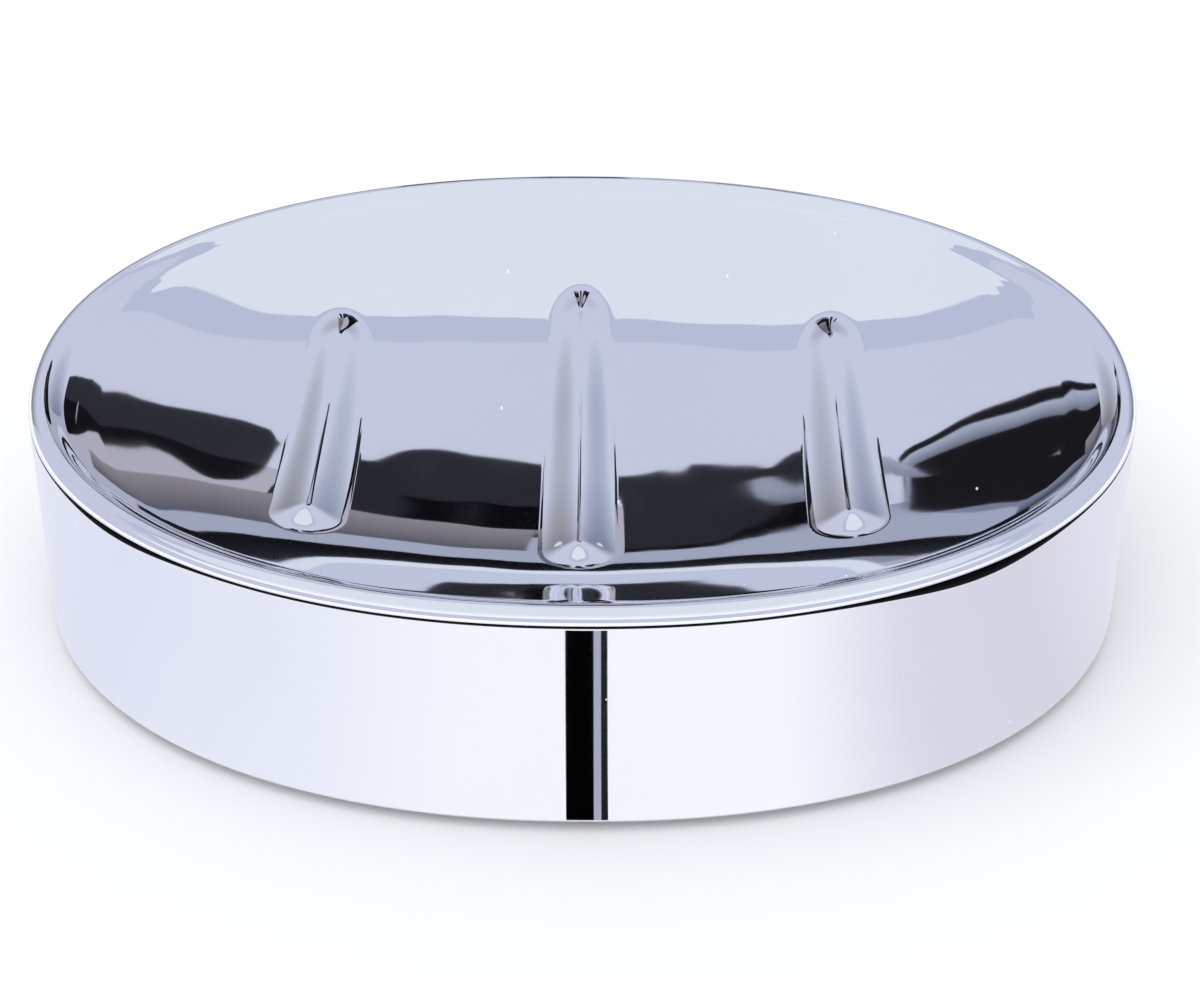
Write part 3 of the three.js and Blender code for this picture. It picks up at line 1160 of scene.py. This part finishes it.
@dataclass
class FootSet:
    """The four feet, modelled once and copied, each with its own mesh.

    Attributes:
        ledge: Height of the ledge's underside.
        plate: Height of the plate's upper side.
        nodes: The CAD nodes that the feet stand for.
    """

    ledge: float
    plate: float
    nodes: tuple[str, ...] = ("foot_front_left", "foot_front_right", "foot_back_left", "foot_back_right")

    def places(self) -> list[Vector]:
        """The middles of the feet in plan, from the frame."""
        return [sum(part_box(node), Vector()) / 2 for node in self.nodes]

    def build(self, finish: FootRubber) -> None:
        """Models the feet and dresses them.

        Args:
            finish: Their rubber.
        """
        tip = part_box(self.nodes[0])[1].z
        first = RubberFoot().model(self.ledge, self.plate, tip)
        rubber = finish.material()
        first.data.materials.append(rubber)
        for node, place in zip(self.nodes, self.places()):
            foot = first.copy()
            foot.data = first.data.copy()
            foot.name = foot.data.name = f"rubber_{node}"
            bpy.context.collection.objects.link(foot)
            foot.data.transform(Matrix.Translation((place.x, place.y, 0)))
            dress(foot, Slot.RUBBER, node)
        bpy.data.objects.remove(first)


# The studio


@dataclass(frozen=True)
class StudioBoard:
    """A board or soft box hung on a ring round the dish, seen only in polished metal.

    Attributes:
        name: The board's name.
        colour: Its brightness.
        top: Its upper edge as azimuths and elevations in degrees, from left to right as seen from the front.
        bottom: Its lower edge in the same way.
        distance: How far it stands from the dish.
        lower_colour: The brightness at its lower edge, or none for an even board.
        rows: Rows of faces.
        step: Width of a face in degrees.
    """

    name: str
    colour: Colour
    top: Pairs
    bottom: Pairs
    distance: float
    lower_colour: Colour | None = None
    rows: int = 6
    step: float = 0.5

    @classmethod
    def level(cls, name: str, colour: Colour, span: tuple[float, float], heights: tuple[float, float],
              distance: float, lower_colour: Colour | None = None) -> StudioBoard:
        """A board with level edges.

        Args:
            name: Its name.
            colour: Its brightness.
            span: The azimuths of its two ends.
            heights: The elevations of its upper and its lower edge.
            distance: How far it stands from the dish.
            lower_colour: The brightness at its lower edge, or none.

        Returns:
            The board.
        """
        top, bottom = (tuple((azimuth, height) for azimuth in span) for height in heights)
        return cls(name, colour, top, bottom, distance, lower_colour)

    @staticmethod
    def edge_at(edge: Pairs, azimuth: float) -> float:
        """The edge's elevation at an azimuth, between its points."""
        return float(np.interp(azimuth, [a for a, _ in edge], [e for _, e in edge]))

    def build(self) -> None:
        """Hangs the board: a grid bent onto the ring between its two edges."""
        start, end = self.top[0][0], self.top[-1][0]
        count = max(4, round((end - start) / self.step))
        board = add_grid(self.name, count, self.rows)
        points = read_points(board)
        share = (points[:, 1] + 1) / 2
        azimuths = start + (end - start) * (points[:, 0] + 1) / 2
        for index, (azimuth, up) in enumerate(zip(azimuths, share)):
            low, high = self.edge_at(self.bottom, azimuth), self.edge_at(self.top, azimuth)
            elevation = math.radians(low + (high - low) * up)
            turn = math.radians(azimuth)
            flat = self.distance * math.cos(elevation)
            points[index] = flat * math.sin(turn), flat * math.cos(turn), self.distance * math.sin(elevation)
        write_points(board, points)
        shade = board.data.attributes.new("shade", "FLOAT", "POINT")
        shade.data.foreach_set("value", share)
        board.data.materials.append(glow_material(self.name, self.colour, self.lower_colour))
        show_to_metal_only(board)


def glow_material(name: str, colour: Colour = (1, 1, 1), lower: Colour | None = None,
                  attribute: str = "") -> bpy.types.Material:
    """A glow that is even, shaded from a lower to an upper colour, or tinted point by point.

    Args:
        name: The material's name.
        colour: Its brightness, or that of the upper edge.
        lower: The brightness where the attribute "shade" is 0, or none.
        attribute: The colour attribute that tints it instead.

    Returns:
        The material.
    """
    material = bpy.data.materials.new(name)
    material.use_nodes = True
    tree = material.node_tree
    nodes = tree.nodes
    nodes.clear()
    glow, out = nodes.new("ShaderNodeEmission"), nodes.new("ShaderNodeOutputMaterial")
    glow.inputs["Color"].default_value = (*colour, 1)
    if lower or attribute:
        source = nodes.new("ShaderNodeAttribute")
        source.attribute_name = attribute or "shade"
    if attribute:
        link(tree, (source, "Color", glow, "Color"))
    if lower:
        mixed = nodes.new("ShaderNodeMix")
        mixed.data_type = "RGBA"
        mixed.inputs["A"].default_value = (*lower, 1)
        mixed.inputs["B"].default_value = (*colour, 1)
        link(tree, (source, "Fac", mixed, "Factor"), (mixed, "Result", glow, "Color"))
    link(tree, (glow, "Emission", out, "Surface"))
    return material


def show_to_metal_only(card: bpy.types.Object) -> None:
    """Hides a card from the camera, from soft light and from shadows, and leaves it in reflections."""
    for rays in ("camera", "diffuse", "shadow", "transmission", "volume_scatter"):
        setattr(card, f"visible_{rays}", False)


@dataclass
class PaintedReflectionRing:
    """A glowing ring laid on the floor round the dish and hidden from the camera: it paints the tones of the
    upright band's reflection, which mirrors it instead of the floor and its contact shadow.

    Attributes:
        plan: The dish's outline.
        tones: Brightnesses of the painted reflection by the turn round the outline in degrees, from the
            front's right to its left.
        gap: How far the ring's inner edge lies outside the outline.
        width: How far its outer edge lies outside the outline.
        level: Its height over the floor.
        sides: Points round its edges.
    """

    plan: OvalPlan
    tones: tuple[tuple[float, Colour], ...] = (
        (-180, (0.80, 0.82, 0.92)), (-157, (0.78, 0.81, 0.92)), (-119, (0.86, 0.88, 0.96)),
        (-101, (0.96, 0.97, 1.00)), (-70, (0.98, 0.99, 1.02)), (-61.6, (0.86, 0.86, 0.92)),
        (-53, (0.74, 0.735, 0.83)), (-30, (0.71, 0.695, 0.78)), (0, (0.80, 0.80, 0.88)),
        (90, (0.92, 0.93, 0.98)), (180, (0.80, 0.82, 0.92)),
    )
    gap: float = 0.4 * MM
    width: float = 70 * MM
    level: float = 0.03 * MM
    sides: int = 360

    def build(self) -> None:
        """Draws the ring and tints its points with the painted reflection's tones."""
        skin = OvalSkin("painted_band_reflection", self.plan, self.sides, -self.gap, self.level)
        skin.ring(-self.width, self.level)
        card = skin.done()
        turns = [float(turn) for turn, _ in self.tones]
        tint = card.data.color_attributes.new("tone", "FLOAT_COLOR", "POINT")
        for vertex, value in zip(card.data.vertices, tint.data):
            turn = math.degrees(self.plan.turn_of(vertex.co.x, vertex.co.y))
            parts = (np.interp(turn, turns, [tone[part] for _, tone in self.tones]) for part in range(3))
            value.color = (*parts, 1)
        card.data.materials.append(glow_material("painted_band_reflection", attribute="tone"))
        show_to_metal_only(card)


@dataclass
class Studio:
    """A plain pale floor under soft light, the boards that the steel mirrors, and the camera.

    Attributes:
        plan: The dish's outline.
        half_floor, floor_drop: Half the floor's side, and how far it lies under the feet.
        floor_colour, floor_shade: Its colour, and the share of that left in its darker spots.
        sky: The room that polished metal sees between the boards.
        daylight, daylight_strength: The even light.
        bright, white: The soft boxes' brightness, and the front one's at its lower edge.
        dark, black: The back boards' tone, and that of their edges and feet.
        ring_level, ring_lift, ring_lift_end: The overhead soft box's edge: its elevation, its rise to
            the sides and the azimuth where that ends.
        ring_waves: That edge's waves, as height, count and start in degrees.
        ceiling_edge: Height of the duller band under it.
        far, hung, wall, middle, middle_wall: How far the boards stand from the dish, by group.
        near, near_curl, near_warm: The same for the near cards.
        fine: Width of a middle board's faces in degrees.
        strip_start, strip_length, strip_level, strip_rows: The floor strip's start in front of the band,
            its length, its height and its rows of faces.
        strip_middle, strip_spread: The x that it widens from, and how fast, per metre.
        strip_lines: Its lines, as name, left side, right side and tone.
        camera_place, camera_turn, camera_height, camera_roll: The camera's place and its angles in degrees.
        camera_lens, camera_clip: Its focal length in millimetres, and from where on it sees.
        lamp_place, lamp_size, lamp_power: The lamp.
    """

    plan: OvalPlan
    half_floor: float = 4.0
    floor_drop: float = 0.02 * MM
    floor_colour: Colour = (0.89, 0.895, 0.905)
    floor_shade: float = 0.985
    sky: Colour = (0.58, 0.61, 0.74)
    daylight: Colour = (1.0, 1.0, 1.0)
    daylight_strength: float = 0.97
    bright: Colour = (0.745, 0.785, 0.86)
    white: Colour = (1.05, 1.07, 1.12)
    dark: Colour = (0.026, 0.027, 0.034)
    black: Colour = (0.006, 0.006, 0.008)
    ring_level: float = 51.6
    ring_waves: Triples = ((0.9, 9, 40), (0.6, 23, 0))
    ring_lift: float = 2.6
    ring_lift_end: float = 40
    ceiling_edge: float = 5.5
    far: float = 12
    hung: float = 11
    wall: float = 11.5
    middle: float = 2
    middle_wall: float = 2.05
    near: float = 0.33
    near_curl: float = 0.4
    near_warm: float = 0.38
    fine: float = 0.08
    strip_start: float = 0.6 * MM
    strip_length: float = 40 * MM
    strip_middle: float = 1.17 * MM
    strip_spread: float = 16.5
    strip_level: float = 0.05 * MM
    strip_rows: int = 12
    strip_lines: tuple[tuple[str, float, float, Colour], ...] = (
        ("front_strip_wide", -1.15 * MM, 1.95 * MM, (0.001, 0.001, 0.001)),
        ("front_strip_gap", 1.95 * MM, 2.79 * MM, (0.40, 0.42, 0.55)),
        ("front_strip_thin", 2.79 * MM, 3.55 * MM, (0.014, 0.015, 0.022)),
    )
    camera_place: tuple[float, float, float] = (4.357 * MM, -286.385 * MM, 213.416 * MM)
    camera_turn: float = 0.451
    camera_height: float = 35.218
    camera_roll: float = 0.203
    camera_lens: float = 86.256
    camera_clip: float = 5 * MM
    lamp_place: tuple[float, float, float] = (-0.25, -0.3, 1.1)
    lamp_size: float = 1.2
    lamp_power: float = 4.0

    def ceiling_ring(self) -> Pairs:
        """The overhead soft box's wavy edge, a little higher towards the sides."""
        ring = []
        for azimuth in range(-180, 181, 3):
            level = self.ring_level
            for height, count, start in self.ring_waves:
                level += height * math.sin(math.radians(azimuth * count + start))
            ring.append((azimuth, level + self.ring_lift * min(abs(azimuth) / self.ring_lift_end, 1) ** 2))
        return tuple(ring)

    def overhead_boards(self) -> list[StudioBoard]:
        """The soft boxes over the dish and in front of it, and the duller edge under them."""
        ring = self.ceiling_ring()
        under = tuple((azimuth, elevation - self.ceiling_edge) for azimuth, elevation in ring)
        zenith = ((-180, 89.9), (180, 89.9))
        front, foot = ((90, 36), (125, 63), (235, 63), (270, 36)), ((90, 34), (270, 34))
        return [
            StudioBoard("overhead_softbox", self.bright, zenith, ring, self.far, step=2, rows=16),
            StudioBoard("ceiling_edge", (0.50, 0.535, 0.68), ring, under, self.far, step=2),
            StudioBoard("front_softbox", self.bright, front, foot, self.hung, self.white, step=2, rows=16),
        ]

    def right_boards(self) -> list[StudioBoard]:
        """The dark board behind the dish on the right, with a blacker foot."""
        top = (
            (2.25, 30.8), (2.8, 32.2), (3.3, 33), (5, 33.6), (6.2, 33.3), (8, 32.6), (8.5, 33.2), (10, 33.6),
            (12, 33), (15, 31.9), (18, 30.3), (20, 28.5), (22, 26.3), (24, 24.3),
        )
        seam = ((2.25, 26), (4, 26), (8, 29), (12, 28), (16, 25), (20, 23), (24, 23))
        low = (
            (2.25, 22.5), (2.5, 21), (3.3, 21.8), (4.5, 24), (5.7, 26), (7, 25), (9, 21), (11, 17), (13, 12),
            (14, 10.5), (17, 14), (19.5, 17.5), (22, 20.5), (24, 22),
        )
        return [
            StudioBoard("back_board_right", self.dark, top, seam, self.hung),
            StudioBoard("back_board_right_foot", self.black, seam, low, self.hung),
        ]

    def middle_boards(self) -> list[StudioBoard]:
        """The dark board straight behind the dish, nearer than the others, with a blacker foot."""
        top = (
            (-2.35, 33.2), (-1.7, 33.1), (-1.3, 32.8), (-1, 32.2), (-0.7, 31.4), (-0.5, 31.3), (-0.28, 32),
            (0.35, 32.5),
        )
        seam = (
            (-2.35, 32.9), (-2.15, 30), (-1.95, 27.5), (-1.6, 26.8), (-1.17, 26.4), (-0.9, 20), (-0.5, 15.8),
            (-0.3, 14.6), (0.35, 14.3),
        )
        low = (
            (-2.35, 32.7), (-2.15, 29.5), (-1.98, 26), (-1.8, 22.5), (-1.62, 19.5), (-1.05, 17.8),
            (-0.85, 16), (-0.55, 14.5), (-0.35, 13.2), (0.35, 12.8),
        )
        tone, foot = (0.020, 0.021, 0.028), (0.003, 0.003, 0.004)
        return [
            StudioBoard("back_board_middle", tone, top, seam, self.middle, step=self.fine),
            StudioBoard("back_board_middle_foot", foot, seam, low, self.middle, step=self.fine),
        ]

    def left_boards(self) -> list[StudioBoard]:
        """The dark board behind the dish on the left, with a black edge over a paler strip."""
        top = (
            (-24, 23.5), (-22, 26.5), (-20, 28.5), (-18, 30), (-15, 32), (-11, 34.2), (-8, 32.6), (-6, 31),
            (-4.6, 30), (-3.95, 28.6), (-3.2, 22.5), (-2.5, 16.6), (-2.4, 15.5),
        )
        edge = (
            (-24, 23), (-22, 25.3), (-20, 27), (-18, 28.5), (-15, 30.5), (-11, 32.7), (-8, 31.6), (-6, 30),
            (-4.6, 28.9), (-3.95, 27.8), (-3.2, 22), (-2.5, 16.4), (-2.4, 15.3),
        )
        strip = (
            (-24, 21), (-22, 22), (-18, 24), (-15, 26), (-12, 28), (-9.7, 30.2), (-8, 29.5), (-5, 27.2),
            (-3.95, 26.2), (-3.2, 21), (-2.5, 16), (-2.4, 15),
        )
        low = ((-24, 17), (-22, 15), (-18, 12), (-14, 11), (-10.5, 13), (-8, 15.5), (-5, 14.5), (-2.4, 14.2))
        shade = (0.14, 0.155, 0.21)
        return [
            StudioBoard("back_board_left_edge", self.black, top, edge, self.hung),
            StudioBoard("back_board_left_strip", (0.40, 0.44, 0.56), edge, strip, self.hung, shade),
            StudioBoard("back_board_left", (0.010, 0.010, 0.012), strip, low, self.hung),
        ]

    def low_boards(self) -> list[StudioBoard]:
        """The pale boards under the dark ones, on the right and on the left."""
        left, left_foot, shade = (0.30, 0.32, 0.45), (0.42, 0.45, 0.58), (0.05, 0.055, 0.09)
        right, right_foot = (0.44, 0.43, 0.50), (0.40, 0.42, 0.53)
        return [
            StudioBoard.level("low_wall_right", right, (-1.2, 26), (26, -2), self.wall, right_foot),
            StudioBoard.level("low_wall_left", left, (-26, -1.2), (18, 8), self.wall, shade),
            StudioBoard.level("low_wall_left_foot", shade, (-26, -1.2), (8, -2), self.wall, left_foot),
        ]

    def low_middle_boards(self) -> list[StudioBoard]:
        """The pale sill, the black line and the dull base under the middle board."""
        sill_top = ((-1.62, 20), (-1.2, 19), (-0.85, 17), (0.6, 15.5))
        sill_low = ((-1.62, 9.2), (-0.8, 9), (-0.5, 8.3), (-0.1, 9), (0.6, 9.4))
        line_top = ((-2.4, 9), (-0.8, 9), (-0.5, 8.5), (-0.1, 9), (0.6, 9.4))
        line_low = ((-2.4, 1.5), (-1, 1.7), (-0.75, 4), (0.6, 5))
        ground = ((-2.4, -2), (0.6, -2))
        sill, line, base = (0.36, 0.39, 0.51), (0.003, 0.003, 0.005), (0.24, 0.265, 0.37)
        place, shade = self.middle_wall, (0.02, 0.022, 0.03)
        return [
            StudioBoard("low_wall_middle", sill, sill_top, sill_low, place, step=self.fine),
            StudioBoard("low_wall_line", line, line_top, line_low, place, shade, step=self.fine),
            StudioBoard("low_wall_base", base, line_low, ground, place, step=self.fine),
        ]

    def side_boards(self) -> list[StudioBoard]:
        """The boards at the far left and right, duller downwards."""
        pale, left, right = (0.57, 0.60, 0.73), (0.30, 0.30, 0.33), (0.24, 0.27, 0.38)
        left_foot, right_foot = (0.30, 0.31, 0.38), (0.30, 0.33, 0.42)
        return [
            StudioBoard.level("side_board_left", pale, (-45, -26), (26, 13), self.wall, left),
            StudioBoard.level("side_board_left_foot", left, (-45, -26), (13, -2), self.wall, left_foot),
            StudioBoard.level("side_board_right_foot", right, (26, 45), (13, -2), self.wall, right_foot),
            StudioBoard.level("side_board_right", pale, (26, 45), (26, 13), self.wall, right),
        ]

    def near_cards(self) -> list[StudioBoard]:
        """The cards close behind the dish: two for the ribs' flanks, a pale patch and a warm strip."""
        curl_top = ((1.95, 29.5), (2.1, 31), (2.3, 32.3), (2.55, 32.8))
        curl_low = ((1.95, 27), (2.1, 27.3), (2.3, 28.2), (2.45, 29.4), (2.55, 30.6))
        curl, dull = (0.36, 0.39, 0.50), (0.20, 0.215, 0.28)
        warm, warm_shade = (0.26, 0.24, 0.27), (0.10, 0.10, 0.13)
        cards = []
        for side, span, shade in (
            ("left", (-58, -9.5), (0.21, 0.205, 0.225)), ("right", (9.5, 58), (0.16, 0.19, 0.29))
        ):
            name = f"flank_card_{side}"
            cards += [
                StudioBoard.level(name, self.sky, span, (44, 28), self.near),
                StudioBoard.level(f"{name}_foot", self.sky, span, (28, 8), self.near, shade),
            ]
        return [
            *cards,
            StudioBoard("curl_card", curl, curl_top, curl_low, self.near_curl, dull, step=self.fine / 2),
            StudioBoard.level("warm_card", warm, (-9.7, -2.05), (24.3, 16.7), self.near_warm, warm_shade),
        ]

    def boards(self) -> list[StudioBoard]:
        """Everything that the polished steel mirrors above the floor."""
        return [
            *self.overhead_boards(), *self.right_boards(), *self.middle_boards(), *self.left_boards(),
            *self.low_boards(), *self.low_middle_boards(), *self.side_boards(), *self.near_cards(),
        ]

    def build(self) -> None:
        """Sets up the studio."""
        self._camera()
        self._floor()
        self._world()
        for board in self.boards():
            board.build()
        # A painted reflection: a glowing ring on the floor that only the band mirrors.
        PaintedReflectionRing(self.plan).build()
        self._strip()
        self._lamp()
        view = bpy.context.scene.view_settings
        view.view_transform = "Standard"
        view.look = "None"

    def _camera(self) -> None:
        """Stands the camera where the photograph's was, turned and rolled the same way."""
        data = bpy.data.cameras.new("camera")
        data.lens = self.camera_lens
        data.clip_start = self.camera_clip
        camera = bpy.data.objects.new("camera", data)
        bpy.context.collection.objects.link(camera)
        angles = (self.camera_turn, self.camera_height, self.camera_roll)
        turn, height, roll = (math.radians(angle) for angle in angles)
        away = math.cos(height)
        back = Vector((math.sin(turn) * away, -math.cos(turn) * away, math.sin(height)))
        level = (-back).cross(Vector((0, 0, 1))).normalized()
        upright = level.cross(-back)
        right = math.cos(roll) * level + math.sin(roll) * upright
        up = math.cos(roll) * upright - math.sin(roll) * level
        turned = Matrix((right, up, back)).transposed().to_4x4()
        camera.matrix_world = Matrix.Translation(self.camera_place) @ turned
        bpy.context.scene.camera = camera

    def _floor(self) -> None:
        """Lays a plain pale floor that can be looked through from below."""
        deselect()
        bpy.ops.mesh.primitive_plane_add(size=2 * self.half_floor, location=(0, 0, -self.floor_drop))
        floor = bpy.context.object
        floor.name = "floor"
        sheet = Sheet("floor_paper")
        tooth = sheet.effect(WaveEffect(), Broad_Scale=90, Fine_Scale=1800, Fine_Share=0.5)
        low = tuple(self.floor_shade * part for part in self.floor_colour)
        sheet.blend(tooth.outputs["Height"], low, self.floor_colour, "Base Color")
        sheet.set(Roughness=0.9, Specular_IOR_Level=0.0)
        sheet.clear_behind()
        floor.data.materials.append(sheet.material)

    def _world(self) -> None:
        """Lights the floor evenly, and shows polished metal a blue-grey room instead."""
        world = bpy.data.worlds.new("studio")
        bpy.context.scene.world = world
        world.use_nodes = True
        nodes = world.node_tree.nodes
        nodes.clear()
        soft, room = nodes.new("ShaderNodeBackground"), nodes.new("ShaderNodeBackground")
        soft.inputs["Color"].default_value = (*self.daylight, 1)
        soft.inputs["Strength"].default_value = self.daylight_strength
        room.inputs["Color"].default_value = (*self.sky, 1)
        path, mixed, out = (nodes.new(f"ShaderNode{n}") for n in ("LightPath", "MixShader", "OutputWorld"))
        link(
            world.node_tree,
            (path, "Is Glossy Ray", mixed, 0), (soft, 0, mixed, 1), (room, 0, mixed, 2),
            (mixed, 0, out, "Surface"),
        )

    def _strip(self) -> None:
        """Lays a dark two-line strip on the floor in front of the band, seen only in reflections: a painted
        dark stripe down the band's front, widening so that its image stays even.
        """
        front = -0.5 * (CAD_BOUNDS[1].y - CAD_BOUNDS[0].y)
        for name, left, right, tone in self.strip_lines:
            card = add_grid(name, 1, self.strip_rows)
            points = read_points(card)
            away = (1 - points[:, 1]) / 2 * self.strip_length
            side = np.where(points[:, 0] > 0, right, left)
            points[:, 0] = self.strip_middle + (side - self.strip_middle) * (1 + self.strip_spread * away)
            points[:, 1] = front - away - self.strip_start
            points[:, 2] = self.strip_level
            write_points(card, points)
            # Painted reflection: a near-black glow that only polished metal sees.
            card.data.materials.append(glow_material(name, tone))
            show_to_metal_only(card)

    def _lamp(self) -> None:
        """Hangs one broad soft lamp over the dish for a faint shadow."""
        data = bpy.data.lights.new("overhead_lamp", "AREA")
        data.shape = "DISK"
        data.size = self.lamp_size
        data.energy = self.lamp_power
        lamp = bpy.data.objects.new("overhead_lamp", data)
        bpy.context.collection.objects.link(lamp)
        lamp.location = self.lamp_place
        lamp.rotation_euler = (Vector((0, 0, 0)) - lamp.location).to_track_quat("-Z", "Y").to_euler()
        lamp.visible_camera = False
        lamp.visible_glossy = False


def main() -> None:
    """Builds the dish round the frame, then the studio."""
    logging.basicConfig(level=logging.INFO, format="%(name)s %(message)s")
    band_low, band_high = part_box("side_band")
    tray_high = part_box("soap_tray")[1]
    plate_low, plate_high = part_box("base_plate")
    plan = OvalPlan(half_length=band_high.x, half_width=band_high.y)
    feet = FootSet(ledge=band_low.z, plate=plate_high.z)
    steel = PolishedSteel("polished_steel")
    # The band's inside and the tray's underside get near-black painted shade.
    SideBand(plan, band_low.z, band_high.z).build(feet.places(), PolishedSteel("polished_band"), PaintedShadeSteel())
    SoapTray(plan, tray_high.z, band_high.z).build(steel, PaintedShadeSteel("painted_shade_tray_steel"))
    plate = BasePlate(plan, plate_low.z, plate_high.z, band_high.x - plate_high.x)
    plate.build(feet.places(), MouldedPlastic())
    feet.build(FootRubber())
    Studio(plan).build()


if __name__ == "__main__":
    main()
